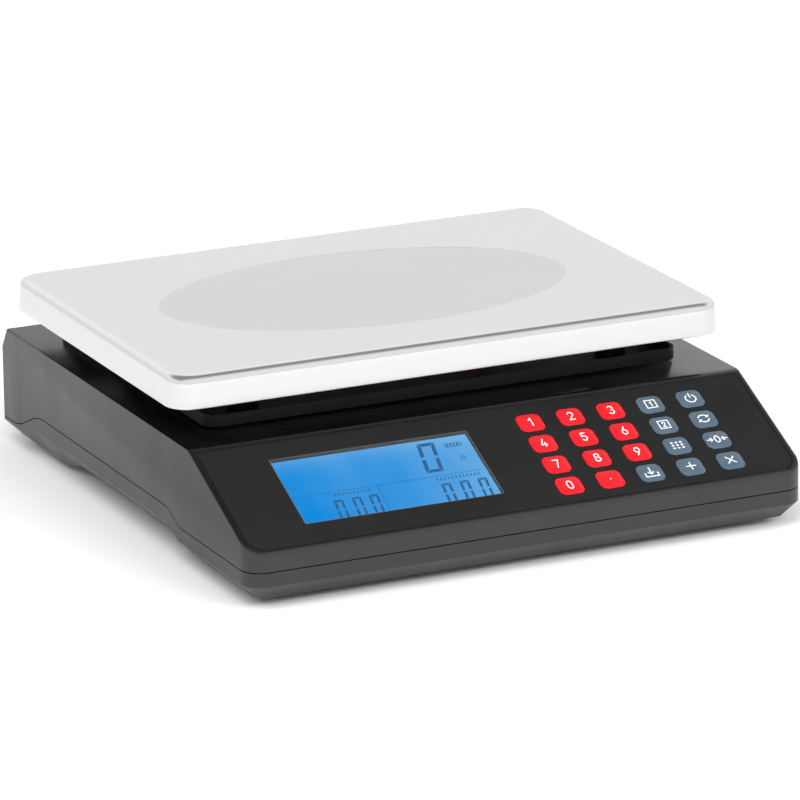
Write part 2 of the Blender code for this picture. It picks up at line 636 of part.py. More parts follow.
def make_load_cell(metal, steel):
    y_low, y_high = PAN_CENTRE_Y - CELL_WIDTH / 2, PAN_CENTRE_Y + CELL_WIDTH / 2
    end = CELL_LENGTH / 2
    cell = add_object("load_cell", box((-end, y_low, CELL_BOTTOM), (end, y_high, CELL_TOP)), metal)
    middle = (CELL_BOTTOM + CELL_TOP) / 2
    neck = box((-0.012, y_low - 0.01, middle - 0.0025), (0.012, y_high + 0.01, middle + 0.0025))
    combine(cell, add_object("cell_neck", neck))
    for side in (-1, 1):
        bore = turned([(0.0085, 0.0), (0.0085, CELL_WIDTH + 0.02)])
        combine(cell, add_object(f"cell_bore_{side}", bore, location=(side * 0.0125, y_high + 0.01, middle),
                                 rotation=(math.radians(90), 0, 0)))
    blocks = (("cell_base_block", -end, BASE + FLOOR + GAP, CELL_BOTTOM - GAP),
              ("cell_top_block", end - CELL_BLOCK_LENGTH, CELL_TOP + CELL_TOP_GAP, CARRIER_BOTTOM - GAP))
    deck = CARRIER_BOTTOM + CARRIER_FLOOR + GAP
    bolt_sections = ((BASE - GAP - BOLT_HEAD, BASE - GAP, CELL_BOTTOM + 0.018),
                     (deck + BOLT_HEAD, deck, CELL_TOP - 0.018))
    for side, tag, (name, left, low, high), bolt in zip((-1, 1), ("base", "top"), blocks, bolt_sections):
        block = add_object(name, box((left, y_low, low), (left + CELL_BLOCK_LENGTH, y_high, high)), metal)
        far, seat, tip = bolt
        profile = [(BOLT_HEAD_RADIUS, far), (BOLT_HEAD_RADIUS, seat), (BOLT_RADIUS, seat), (BOLT_RADIUS, tip)]
        for index, x in enumerate(CELL_BOLT_X):
            bolt_hole(block, f"{name}_hole_{index}", side * x, low - 0.01, high + 0.01)
            bolt_hole(cell, f"cell_thread_{side}_{index}", side * x, CELL_BOTTOM - 0.01, CELL_TOP + 0.01)
            shank = turned(profile, (side * x, PAN_CENTRE_Y), 16)
            round_shading(add_object(f"cell_bolt_{tag}_{index + 1}", shank, steel))


def make_feet(rubber, steel):
    pad_top = BASE - GAP
    for place, (x, y) in FOOT_PLACES.items():
        rings = [(FOOT_PAD_RADIUS - 0.0008, 0.0), (FOOT_PAD_RADIUS, 0.0010),
                 (FOOT_PAD_RADIUS, pad_top - 0.0006), (FOOT_PAD_RADIUS - 0.0006, pad_top)]
        pad = add_object(f"foot_pad_{place}", turned(rings, steps=24), rubber, location=(x, y, 0))
        socket = turned([(STUD_RADIUS + GAP, 0.0012), (STUD_RADIUS + GAP, 0.01)], steps=16)
        combine(pad, add_object(f"foot_socket_{place}", socket, location=(x, y, 0)))
        rings = [(STUD_RADIUS, 0.0015), (STUD_RADIUS, STUD_TOP - 0.0008), (STUD_RADIUS - 0.0008, STUD_TOP)]
        stud = add_object(f"foot_stud_{place}", turned(rings, steps=16), steel, location=(x, y, 0))
        round_shading(stud)


def make_battery(case_finish, cover_finish, steel):
    width, depth, height = BATTERY_SIZE
    floor = BASE + FLOOR + GAP
    outline = battery_outline(0.0)
    top = rectangle(width - 0.004, depth - 0.004, 0.002, BATTERY_CENTRE, 3)
    case = stack([(outline, floor), (outline, floor + height - 0.002), (top, floor + height)])
    add_object("battery", case, case_finish)
    cover = slab(battery_outline(HATCH_MARGIN - GAP), BASE, BASE + COVER_THICKNESS)
    cover = add_object("battery_cover", cover, cover_finish)
    place = cover_screw_place()
    combine(cover, add_object("cover_hole", cover_screw_hole()))
    shank = COVER_SCREW_HOLE - GAP
    rings = [(0.0016, BASE - 0.0012), (0.0019, BASE - GAP), (shank, BASE - GAP), (shank, BASE + 0.006)]
    add_object("battery_cover_screw", turned(rings, place, 12), steel)


def make_dc_jack(finish):
    spot = (JACK_PLACE[0], REAR - 0.0004, JACK_PLACE[1])
    profile = [(JACK_RADIUS, 0.0), (0.0028, 0.0), (0.0028, 0.009), (0.001, 0.009), (0.001, 0.0015)]
    profile = profile[::-1] + [(JACK_RADIUS, JACK_LENGTH)]
    jack = add_object("dc_jack", turned(profile), finish, location=spot, rotation=(math.radians(90), 0, 0))
    round_shading(jack)


def make_case_screws(steel):
    for place, (x, y) in CASE_SCREW_PLACES.items():
        profile = [(SCREW_HEAD_RADIUS - 0.0002, SCREW_HEAD_TOP - 0.0017), (SCREW_HEAD_RADIUS, SCREW_HEAD_TOP),
                   (SCREW_RADIUS, SCREW_HEAD_TOP), (SCREW_RADIUS, POST_SPLIT + 0.010)]
        round_shading(add_object(f"case_screw_{place}", turned(profile, (x, y), 16), steel))


def make_cell_cable(finish):
    """The load cell's lead, laid on the floor of the casing from the cell's end up to the main board."""
    curve = bpy.data.curves.new("cell_cable", "CURVE")
    curve.dimensions = "3D"
    curve.bevel_depth = CABLE_RADIUS
    curve.bevel_resolution = 2
    curve.use_fill_caps = True
    points = smooth_route([Vector(p) for p in CABLE_ROUTE], 4)
    spline = curve.splines.new("POLY")
    spline.points.add(len(points) - 1)
    for target, point in zip(spline.points, points):
        target.co = (*point, 1.0)
    made = bpy.data.objects.new("cell_cable", curve)
    made.data.materials.append(finish)
    bpy.context.collection.objects.link(made)


def smooth_route(points, steps):
    """Catmull-Rom points through a route."""
    ends = [points[0] * 2 - points[1], *points, points[-1] * 2 - points[-2]]
    found = []
    for a, b, c, d in zip(ends, ends[1:], ends[2:], ends[3:]):
        for step in range(steps):
            t = step / steps
            found.append(0.5 * (2 * b + (c - a) * t + (2 * a - 5 * b + 4 * c - d) * t ** 2
                                + (3 * b - a - 3 * c + d) * t ** 3))
    return [*found, points[-1]]


def main():
    clear_scene()
    casing = material("casing_plastic", BLACK, 0.35)
    carrier = material("carrier_plastic", (0.008, 0.008, 0.008), 0.45)
    film = material("panel_film", (0.02, 0.02, 0.021), 0.4)
    red = material("key_red", RED, 0.4)
    slate = material("key_slate", SLATE, 0.4)
    lens = material("lens_clear", (0.9, 0.95, 1.0), 0.05)
    lcd = material("lcd_glass", (0.10, 0.45, 0.85), 0.1)
    light = material("backlight_plastic", (0.3, 0.6, 0.9), 0.5)
    board = material("circuit_board", (0.02, 0.16, 0.07), 0.5)
    ribbon = material("cable_grey", (0.25, 0.25, 0.26), 0.5)
    stainless = material("stainless_steel", (0.75, 0.75, 0.75), 0.25, 1.0)
    aluminium = material("cell_aluminium", (0.75, 0.76, 0.78), 0.3, 1.0)
    steel = material("zinc_steel", (0.6, 0.6, 0.6), 0.3, 1.0)
    rubber = material("foot_rubber", (0.02, 0.02, 0.02), 0.8)
    battery = material("battery_case", (0.05, 0.05, 0.055), 0.5)
    frame = add_panel_frame()
    make_upper_housing(frame, casing)
    make_lower_housing(casing)
    make_front_overlay(frame, film)
    make_keys(frame, red, slate)
    make_display(frame, lens, lcd, light)
    make_boards(frame, board, ribbon)
    make_weighing_pan(stainless)
    make_carrier(carrier, rubber)
    make_load_cell(aluminium, steel)
    make_feet(rubber, steel)
    make_battery(battery, casing, steel)
    make_dc_jack(carrier)
    make_case_screws(steel)
    make_cell_cable(ribbon)


main()
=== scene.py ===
"""Looks of the price-computing bench scale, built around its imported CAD. Metres, +Z up, +Y to the rear."""

import json
import math

import bmesh
import bpy
from mathutils import Matrix, Vector


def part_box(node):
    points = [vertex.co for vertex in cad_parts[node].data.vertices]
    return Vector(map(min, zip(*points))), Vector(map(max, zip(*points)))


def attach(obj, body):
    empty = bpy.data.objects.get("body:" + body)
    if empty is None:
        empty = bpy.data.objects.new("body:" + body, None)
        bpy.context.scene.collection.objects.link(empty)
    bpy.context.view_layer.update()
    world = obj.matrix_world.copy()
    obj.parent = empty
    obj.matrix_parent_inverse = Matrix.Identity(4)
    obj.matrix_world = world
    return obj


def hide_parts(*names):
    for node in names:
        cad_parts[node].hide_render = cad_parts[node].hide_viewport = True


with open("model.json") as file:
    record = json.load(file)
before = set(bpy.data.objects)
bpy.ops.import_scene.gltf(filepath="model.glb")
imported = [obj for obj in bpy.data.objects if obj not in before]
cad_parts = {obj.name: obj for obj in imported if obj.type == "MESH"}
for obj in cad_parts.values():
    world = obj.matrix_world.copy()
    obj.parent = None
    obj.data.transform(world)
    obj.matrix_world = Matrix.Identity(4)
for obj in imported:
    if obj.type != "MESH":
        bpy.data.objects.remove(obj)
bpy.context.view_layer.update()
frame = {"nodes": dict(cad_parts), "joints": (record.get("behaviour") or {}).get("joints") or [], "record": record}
NODES = frame["nodes"]

# Camera: the angles, roll and distance at which the scale is seen
VIEW_TARGET = Vector((-0.0128, -0.0351, 0.0540))
VIEW_YAW = math.radians(-24.99)
VIEW_PITCH = math.radians(16.86)
VIEW_ROLL = math.radians(-0.705)
VIEW_DISTANCE = 3.0097
VIEW_LENS = 275.0
SENSOR_WIDTH = 36.0
VIEW_END = 100.0

# Studio: the floor's half width, lights as (place, target, size, watts) and the sky's grey by height
FLOOR_HALF = 14.0
LIGHTS = {
    "key_box": ((-2.0, -1.9, 3.5), (0.0, 0.0, 0.0), (2.8, 2.8), 112.0),
    "front_box": ((1.0, -2.8, 2.1), (0.0, 0.0, 0.03), (2.0, 1.4), 46.0),
}
SKY = ((0.0, 0.83), (0.31, 0.83), (0.44, 1.0), (0.56, 0.86), (0.80, 0.30))
SKY_STRENGTH = 1.2
FRONT_SKY = 0.88
FRONT_SKY_STARTS = 0.12
FRONT_SKY_FULL = -0.45

# Edges flatter than these angles look smooth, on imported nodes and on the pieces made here
SMOOTH_ANGLE = math.radians(24)
SHARP_ANGLE = math.radians(38)

# Points closer than this are one point
SAME_PLACE = 1e-6

# Pan: one bent sheet, its corners tighter by a share of an inset; shares place rings on face and walls
PAN_SHEET = 0.0008
PAN_CORNER = 0.0135
PAN_CORNER_TIGHTENS = 0.8
PAN_EDGE = 0.0036
PAN_DRAFT = 0.0009
PAN_RIM = 0.00012
PAN_RIM_RISE = 0.0003
PAN_CORNER_STEPS = 20
PAN_SIDE_STEPS = 36
PAN_BEND_STEPS = 8
FACE_SHARES = (0.3, 0.62, 0.86)
WALL_SHARES = (0.35, 0.7, 0.97)

# The oval pressed into the pan
DISH_HALF_X = 0.109
DISH_HALF_Y = 0.0675
DISH_DROP = 0.00032
DISH_SLOPE = 0.0030
DISH_SLOPE_STEPS = 8
DISH_MIDDLE = 0.030
DISH_SAG = 0.00005

# Display: the window's left, right, upper and lower edges on the panel, depths below the film
FILM_TOP = 0.0037
WINDOW = (-0.1126, -0.0076, 0.0145, 0.0615)
WINDOW_CORNER = 0.0008
WINDOW_CORNER_STEPS = 4
LCD_DEPTH = 0.0024
PANE_TOP = 0.0001
PANE_BASE = 0.0009
PANE_GAP = 0.00055
PANE_RIM = 0.0001
GASKET_TOP = 0.00016
GASKET_BASE = LCD_DEPTH - 0.00004
GASKET_INNER = 0.0005
GASKET_OUTER = 0.0001

# LCD segments: places on the panel, sizes, thickness of the bars and slant
LCD_INK_LIFT = 0.00003
LCD_INK_DEPTH = 0.00002
BIG_ZERO = (-0.0352, 0.0172)
BIG_ZERO_SHAPE = (0.0092, 0.0205, 0.0020, 0.16)
SMALL_ZERO_LEFTS = (-0.0348, -0.0252, -0.0156, -0.0915, -0.0820, -0.0731)
SMALL_ZERO_TOP = 0.0464
SMALL_ZERO_SHAPE = (0.0050, 0.0140, 0.00135, 0.10)
ZERO_BARS = (((0, 1), (1, 1)), ((1, 1), (1, 0.5)), ((1, 0.5), (1, 0)),
             ((0, 0), (1, 0)), ((0, 0.5), (0, 0)), ((0, 1), (0, 0.5)))

# Ends of the segments, as shares of their thickness: gap to the next one and length of the slanted cut
CORNER_GAP, CORNER_CUT = 0.12, 1.0
MIDDLE_GAP, MIDDLE_CUT = 0.35, 0.25

# LCD rules, signs and caption bars: places on the panel and widths of their strokes
RULES = (((-0.1106, 0.0406), (-0.0111, 0.0406)), ((-0.0660, 0.0414), (-0.0668, 0.0600)))
RULE_WIDTH = 0.00028
BATTERY = (-0.0215, -0.0135, 0.0197, 0.0222)
BATTERY_WIDTH = 0.00032
BATTERY_TIP = 0.0009
BATTERY_TIP_WIDTH = 0.00044
BATTERY_INSET = 0.0007
BATTERY_CELLS = (-0.0203, -0.0185, -0.0167, -0.0149)
BATTERY_CELL_WIDTH = 0.0009
STABLE_SIGN, STABLE_RADIUS, STABLE_WIDTH = (-0.1069, 0.0347), 0.0010, 0.0003
ZERO_SIGN, ZERO_RADIUS, ZERO_WIDTH = (-0.0161, 0.0308), 0.0012, 0.00036
ZERO_TAIL = 0.0010
CAPTIONS = ((-0.0352, 12), (-0.0890, 10))
CAPTION_PITCH = 0.0020
CAPTION_TOP, CAPTION_BASE = 0.0424, 0.0436
CAPTION_WIDTH = 0.00068

# Keys: profile as (inset, height) from the buried base over the lip to the crown
KEY_PROFILE = ((0.0, -0.0014), (0.0, 0.00004), (0.00010, 0.00015), (0.00035, 0.00022),
               (0.0008, 0.00024), (0.0011, 0.00025), (0.0014, 0.00032), (0.0017, 0.00044),
               (0.0020, 0.00052), (0.0024, 0.00056), (0.0032, 0.00058), (0.0044, 0.00059))
KEY_RADIUS = 0.0035
KEY_INNER_RADIUS = 0.0009
KEY_CORNER_STEPS = 8
RED_KEYS = ("0", "1", "2", "3", "4", "5", "6", "7", "8", "9", "point")
SLATE_KEYS = ("memory_1", "memory_2", "power", "mode", "pieces", "tare", "save", "add", "clear")

# Legends: sizes of their boxes, widths of their strokes, ink above the film
DIGIT_SIZE, DIGIT_WIDTH = 0.0052, 0.00064
DIGIT_MIDDLE = (0.3, 0.5)
SYMBOL_SIZE, SYMBOL_WIDTH = 0.0054, 0.00066
DOT_WIDTH = 0.0011
FRAMED_DIGIT_SIZE, FRAME_WIDTH = 0.0030, 0.0006
LEGEND_LEVEL = 0.00058
LEGEND_DEPTH = 0.00003
ROUND_END_STEPS = 6

# Screws, line by line: head heights, shares of the head's radius, of the shank's radius, of the head's height
BOLT_HEAD, SCREW_HEAD = 0.0027, 0.0017
BOLT_SHANK, SCREW_SHANK, RECESS_REACH = 0.571, 0.464, 0.48
SCREW_TIP, SCREW_TAPER = 0.7, 0.3
HEAD_SOFT, RECESS_DEPTH = 0.12, 0.55
SCREW_STEPS = 24

# Half the angle that the end of a cross recess's arm spans, as seen from the middle
CROSS_ARM = math.radians(15)


# ---------------------------------------------------------------- materials

def is_socket(value):
    return isinstance(value, bpy.types.NodeSocket)


class Nodes:
    """A node material and short ways to add to it."""

    def __init__(self, name):
        self.material = bpy.data.materials.new(name)
        self.material.use_nodes = True
        self.tree = self.material.node_tree
        self.shader = self.tree.nodes["Principled BSDF"]
        self.place = self.add("ShaderNodeTexCoord").outputs["Object"]

    def add(self, kind, **settings):
        made = self.tree.nodes.new(kind)
        for key, value in settings.items():
            setattr(made, key, value)
        return made

    def link(self, source, target):
        self.tree.links.new(source, target)

    def put(self, target, value):
        if is_socket(value):
            self.link(value, target)
        else:
            target.default_value = value

    def put_colour(self, target, value):
        self.put(target, value if is_socket(value) else (*value, 1.0))

    def stretched(self, scale):
        made = self.add("ShaderNodeMapping")
        self.link(self.place, made.inputs["Vector"])
        made.inputs["Scale"].default_value = scale
        return made.outputs["Vector"]

    def noise(self, scale, detail, roughness=0.55, stretch=None):
        made = self.add("ShaderNodeTexNoise")
        self.link(self.stretched(stretch) if stretch else self.place, made.inputs["Vector"])
        made.inputs["Scale"].default_value = scale
        made.inputs["Detail"].default_value = detail
        made.inputs["Roughness"].default_value = roughness
        return made.outputs["Fac"]

    def cells(self, scale):
        made = self.add("ShaderNodeTexVoronoi")
        self.link(self.place, made.inputs["Vector"])
        made.inputs["Scale"].default_value = scale
        return made.outputs["Distance"]

    def span(self, value, low, high, from_low=0.0, from_high=1.0):
        made = self.add("ShaderNodeMapRange")
        self.link(value, made.inputs["Value"])
        made.inputs["From Min"].default_value = from_low
        made.inputs["From Max"].default_value = from_high
        made.inputs["To Min"].default_value = low
        made.inputs["To Max"].default_value = high
        return made.outputs["Result"]

    def vary(self, noise, low, high):
        """low to high over the part of its range that a noise mostly stays in."""
        return self.span(noise, low, high, 0.3, 0.7)

    def maths(self, operation, first, second):
        made = self.add("ShaderNodeMath", operation=operation)
        self.put(made.inputs[0], first)
        self.put(made.inputs[1], second)
        return made.outputs["Value"]

    def separate(self, vector):
        made = self.add("ShaderNodeSeparateXYZ")
        self.link(vector, made.inputs["Vector"])
        return made.outputs

    def blend(self, factor, first, second):
        made = self.add("ShaderNodeMix", data_type="RGBA")
        self.put(made.inputs["Factor"], factor)
        self.put_colour(made.inputs["A"], first)
        self.put_colour(made.inputs["B"], second)
        return made.outputs["Result"]

    def mottled(self, noise, first, second):
        """Two colours in clouds with soft borders."""
        return self.blend(self.span(noise, 0.0, 1.0, 0.35, 0.65), first, second)

    def streaked(self, noise, first, second):
        """Two colours in clouds that fade into each other."""
        return self.blend(self.vary(noise, 0.0, 1.0), first, second)

    def bump(self, height, distance, strength, under=None):
        made = self.add("ShaderNodeBump")
        self.link(height, made.inputs["Height"])
        made.inputs["Distance"].default_value = distance
        self.put(made.inputs["Strength"], strength)
        if under is not None:
            self.link(under, made.inputs["Normal"])
        return made.outputs["Normal"]

    def rounded(self, radius):
        made = self.add("ShaderNodeBevel", samples=4)
        made.inputs["Radius"].default_value = radius
        return made.outputs["Normal"]

    def edges(self, radius):
        """1 along outer and inner edges within radius, 0 elsewhere."""
        dot = self.add("ShaderNodeVectorMath", operation="DOT_PRODUCT")
        self.link(self.rounded(radius), dot.inputs[0])
        self.link(self.add("ShaderNodeNewGeometry").outputs["Normal"], dot.inputs[1])
        return self.span(self.maths("SUBTRACT", 1.0, dot.outputs["Value"]), 0.0, 1.0, 0.02, 0.25)

    def facing_up(self, low, high):
        """0 to 1 as the upward part of the surface's normal goes from low to high."""
        upward = self.separate(self.add("ShaderNodeTexCoord").outputs["Normal"])["Z"]
        return self.span(upward, 0.0, 1.0, low, high)

    def colour(self, value):
        self.put_colour(self.shader.inputs["Base Color"], value)

    def set(self, **values):
        for key, value in values.items():
            self.put(self.shader.inputs[key.replace("_", " ")], value)


def moulded(name, colour, worn, roughness, specular=0.5):
    """Moulded plastic: spark-eroded grain, faint flow marks, rubbed edges."""
    m = Nodes(name)
    cloud = m.noise(38.0, 5.0)
    fine = m.noise(2600.0, 2.0, 0.6)
    body = m.mottled(cloud, colour, tuple(min(1.0, 1.22 * c) for c in colour))
    lighter_edges = m.maths("MULTIPLY", m.edges(0.0006), m.span(m.noise(210.0, 3.0), 0.0, 0.8, 0.42, 0.62))
    m.colour(m.blend(lighter_edges, body, worn))
    rough = m.maths("ADD", m.vary(cloud, roughness - 0.05, roughness + 0.05), m.vary(fine, -0.03, 0.03))
    m.set(Roughness=rough, Specular_IOR_Level=specular, Normal=m.bump(fine, 0.00003, 0.6, m.rounded(0.0003)))
    return m.material


def casing_finish():
    """Black ABS: fine grain on the walls, a polished level top, and edges painted lighter, partly as rubbed wear
    and partly as a painted highlight.
    """
    m = Nodes("casing_abs")
    cloud = m.noise(30.0, 5.0)
    streaks = m.noise(26.0, 4.0, 0.5, (1.0, 1.0, 0.12))
    fine = m.noise(2400.0, 2.0, 0.6)
    level = m.facing_up(0.80, 0.89)
    body = m.mottled(cloud, (0.0034, 0.0034, 0.0035), (0.0052, 0.0052, 0.0053))
    # Lighter along every edge: partly rubbed wear, partly a painted highlight line along the edges
    lighter_edges = m.maths("MULTIPLY", m.edges(0.0007), m.span(m.noise(190.0, 3.0), 0.1, 0.75, 0.42, 0.62))
    m.colour(m.blend(lighter_edges, body, (0.030, 0.030, 0.031)))
    rough = m.add("ShaderNodeMix", data_type="FLOAT")
    m.put(rough.inputs["Factor"], level)
    m.put(rough.inputs["A"], m.vary(streaks, 0.33, 0.45))
    m.put(rough.inputs["B"], m.vary(cloud, 0.17, 0.23))
    grain = m.bump(fine, 0.00003, m.span(level, 0.7, 0.004), m.rounded(0.0004))
    m.set(Roughness=rough.outputs["Result"], Specular_IOR_Level=m.span(level, 0.76, 0.26), Normal=grain)
    return m.material


def film_finish():
    """Printed polyester film: matt, very fine texture, faint rub marks."""
    m = Nodes("panel_polyester")
    cloud = m.noise(24.0, 4.0)
    fine = m.noise(3200.0, 1.0, 0.5)
    rub = m.noise(90.0, 3.0, 0.6, (1.0, 0.25, 1.0))
    m.colour(m.mottled(cloud, (0.0075, 0.0075, 0.0077), (0.0100, 0.0100, 0.0103)))
    m.set(Roughness=m.vary(rub, 0.50, 0.58), Specular_IOR_Level=0.24, Normal=m.bump(fine, 0.000012, 0.5))
    return m.material


def steel_finish(name, tint, along, scale, roughness):
    """Fine brushed metal; along is the brushing direction's axis number."""
    m = Nodes(name)
    stretch = [1.0, 1.0, 1.0]
    stretch[along] = 0.02
    lines = m.noise(scale, 3.0, 0.6, tuple(stretch))
    cloud = m.noise(9.0, 4.0)
    smears = m.noise(45.0, 5.0, 0.6)
    m.colour(m.streaked(lines, tuple(0.93 * c for c in tint), tint))
    rough = m.maths("ADD", m.vary(lines, roughness - 0.04, roughness + 0.05),
                    m.span(smears, -0.02, 0.03, 0.35, 0.65))
    m.set(Metallic=1.0, Roughness=rough, Normal=m.bump(lines, 0.000006, 0.35, m.bump(cloud, 0.0004, 0.12)))
    return m.material


def inside_dish(m):
    """1 within the pan's pressed oval, 0 outside it."""
    low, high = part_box("weighing_pan")
    centred = m.add("ShaderNodeMapping", vector_type="TEXTURE")
    m.link(m.place, centred.inputs["Vector"])
    centred.inputs["Location"].default_value = ((low.x + high.x) / 2, (low.y + high.y) / 2, high.z)
    centred.inputs["Scale"].default_value = (DISH_HALF_X, DISH_HALF_Y, 1.0)
    reach = m.add("ShaderNodeVectorMath", operation="LENGTH")
    m.link(centred.outputs["Vector"], reach.inputs[0])
    return m.span(reach.outputs["Value"], 1.0, 0.0, 0.985, 0.998)


def pan_finish():
    """Satin stainless sheet with a duller pressed oval and faint wiping marks; its underside is painted dark as
    shade.
    """
    m = Nodes("pan_steel")
    lines = m.noise(1500.0, 2.0, 0.6, (0.02, 1.0, 1.0))
    wipe = m.noise(14.0, 4.0, 0.6, (0.5, 1.0, 1.0))
    smears = m.noise(60.0, 5.0, 0.65)
    oval = inside_dish(m)
    sheet = m.streaked(lines, (0.690, 0.690, 0.687), (0.704, 0.704, 0.701))
    pressed = m.streaked(wipe, (0.605, 0.605, 0.602), (0.622, 0.622, 0.619))
    # Downward-facing sheet painted dark grey: painted shade under the pan, which keeps its reflection in the level
    # top dark
    m.colour(m.blend(m.facing_up(-0.3, -0.7), m.blend(oval, sheet, pressed), (0.15, 0.15, 0.15)))
    rough = m.maths("ADD", m.vary(wipe, 0.13, 0.17), m.span(smears, -0.012, 0.025, 0.4, 0.7))
    m.set(Metallic=1.0, Roughness=m.maths("ADD", rough, m.span(oval, 0.0, 0.07)),
          Normal=m.bump(lines, 0.000002, 0.2, m.bump(wipe, 0.0003, 0.05)))
    return m.material


def key_finish(name, colour, dark):
    """Printed film over an embossed key: even ink, rubbed lighter along the edges."""
    m = Nodes(name)
    cloud = m.noise(160.0, 3.0)
    fine = m.noise(3000.0, 1.0)
    worn = m.noise(420.0, 4.0)
    rubbed = m.maths("MULTIPLY", m.edges(0.0005), m.span(worn, 0.0, 0.5, 0.5, 0.7))
    lighter = tuple(min(1.0, 1.25 * c + 0.02) for c in colour)
    m.colour(m.blend(rubbed, m.mottled(cloud, dark, colour), lighter))
    m.set(Roughness=m.vary(worn, 0.36, 0.46), Specular_IOR_Level=0.4, Normal=m.bump(fine, 0.00001, 0.4))
    return m.material


def ink_finish(name, colour, roughness=0.5, glow=None):
    """Screen-printed ink, slightly patchy, and lit from behind where glow is a colour."""
    m = Nodes(name)
    patchy = m.noise(900.0, 3.0)
    m.colour(m.streaked(patchy, tuple(0.92 * c for c in colour), colour))
    m.set(Roughness=m.vary(patchy, roughness - 0.06, roughness + 0.06), Normal=m.bump(patchy, 0.000005, 0.3))
    if glow:
        m.set(Emission_Color=m.streaked(patchy, tuple(0.9 * c for c in glow), glow), Emission_Strength=1.0)
    return m.material


def lcd_finish():
    """Backlit blue cell, brightest along its upper edge and at its right end."""
    m = Nodes("lcd_backlit")
    place = m.separate(m.place)
    low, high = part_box("lcd_panel")
    across = m.span(place["X"], 0.0, 1.0, low.x, high.x)
    upward = m.span(place["Y"], 0.0, 1.0, low.y, high.y)
    cloud = m.noise(28.0, 2.0)
    columns = m.noise(30.0, 2.0, 0.5, (1.0, 0.04, 0.04))
    right = m.maths("MULTIPLY", m.maths("POWER", across, 1.5), 0.50)
    upper = m.maths("MULTIPLY", m.maths("POWER", upward, 9.0), 0.55)
    uneven = m.maths("ADD", m.vary(columns, -0.10, 0.10), m.vary(cloud, -0.04, 0.04))
    glow = m.maths("ADD", m.maths("ADD", right, upper), uneven)
    m.colour((0.001, 0.004, 0.01))
    m.set(Emission_Color=m.blend(glow, (0.0, 0.275, 0.76), (0.30, 0.62, 0.88)), Emission_Strength=0.92,
          Roughness=m.span(cloud, 0.3, 0.4), Specular_IOR_Level=0.05)
    return m.material


def glass_finish():
    """Thin clear acrylic with faint smears."""
    m = Nodes("window_pane")
    smear = m.noise(60.0, 4.0, 0.6)
    m.colour((0.97, 0.985, 1.0))
    m.set(Transmission_Weight=1.0, IOR=1.04, Roughness=m.vary(smear, 0.01, 0.04),
          Normal=m.bump(smear, 0.00002, 0.1))
    return m.material


def board_finish():
    """Green solder mask with tracks and plated holes."""
    m = Nodes("solder_mask")
    tracks = m.noise(420.0, 0.0, 0.0, (1.0, 0.2, 0.2))
    copper = m.maths("GREATER_THAN", tracks, 0.56)
    plated = m.maths("LESS_THAN", m.cells(300.0), 0.12)
    mask = m.blend(copper, (0.01, 0.13, 0.045), (0.03, 0.22, 0.09))
    m.colour(m.blend(plated, mask, (0.75, 0.62, 0.28)))
    m.set(Roughness=m.span(tracks, 0.3, 0.5), Metallic=plated, Normal=m.bump(copper, 0.00003, 0.5))
    return m.material


def rubber_finish():
    """Black rubber, matt and a little dusty."""
    m = Nodes("foot_rubber_black")
    cloud = m.noise(300.0, 4.0)
    dust = m.span(m.noise(900.0, 3.0), 0.0, 0.5, 0.5, 0.7)
    m.colour(m.blend(dust, (0.014, 0.014, 0.014), (0.045, 0.043, 0.04)))
    m.set(Roughness=m.span(cloud, 0.7, 0.9), Specular_IOR_Level=0.3,
          Normal=m.bump(cloud, 0.00006, 0.6, m.rounded(0.0003)))
    return m.material


def floor_finish():
    """Matt white studio floor."""
    m = Nodes("floor_white")
    m.colour(m.blend(m.noise(2.0, 2.0), (0.90, 0.90, 0.90), (0.92, 0.92, 0.92)))
    m.set(Roughness=0.9, Specular_IOR_Level=0.1)
    return m.material


FINISHES = {
    "casing_plastic": casing_finish(),
    "carrier_plastic": moulded("carrier_black", (0.003, 0.003, 0.003), (0.02, 0.02, 0.02), 0.42, 0.22),
    "panel_film": film_finish(),
    "key_red": key_finish("key_red_ink", (0.66, 0.006, 0.014), (0.61, 0.005, 0.012)),
    "key_slate": key_finish("key_slate_ink", (0.078, 0.120, 0.165), (0.064, 0.100, 0.140)),
    "lens_clear": glass_finish(),
    "lcd_glass": lcd_finish(),
    "backlight_plastic": moulded("light_guide", (0.45, 0.62, 0.78), (0.6, 0.72, 0.85), 0.4),
    "circuit_board": board_finish(),
    "cable_grey": moulded("cable_sheath", (0.21, 0.21, 0.22), (0.3, 0.3, 0.3), 0.5),
    "stainless_steel": pan_finish(),
    "cell_aluminium": steel_finish("cell_metal", (0.78, 0.79, 0.80), 0, 500.0, 0.34),
    "zinc_steel": steel_finish("zinc_plate", (0.66, 0.67, 0.68), 2, 700.0, 0.36),
    "foot_rubber": rubber_finish(),
    "battery_case": moulded("battery_grey", (0.035, 0.035, 0.038), (0.09, 0.09, 0.09), 0.5),
}
WHITE_INK = ink_finish("legend_white", (0.86, 0.86, 0.86))
LCD_INK = ink_finish("segment_ink", (0.004, 0.02, 0.05), 0.4, (0.006, 0.085, 0.225))
GASKET = moulded("window_gasket_grey", (0.085, 0.074, 0.062), (0.12, 0.105, 0.09), 0.6)


# ---------------------------------------------------------------- mesh helpers

def add_mesh(name, bm, material):
    mesh = bpy.data.meshes.new(name)
    bm.to_mesh(mesh)
    bm.free()
    made = bpy.data.objects.new(name, mesh)
    bpy.context.scene.collection.objects.link(made)
    mesh.materials.append(material)
    return made


def add_piece(name, bm, material, body):
    """A piece of the scale that moves with a body and stands for one of its material slots."""
    bmesh.ops.recalc_face_normals(bm, faces=bm.faces[:])
    made = add_mesh(name, bm, material)
    made.data.shade_smooth()
    made.data.set_sharp_from_angle(angle=SHARP_ANGLE)
    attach(made, body)
    return made


def join_loops(bm, near, far):
    """A band of four-cornered faces between two closed loops of corners."""
    count = len(near)
    for i in range(count):
        j = (i + 1) % count
        bm.faces.new((near[i], near[j], far[j], far[i]))


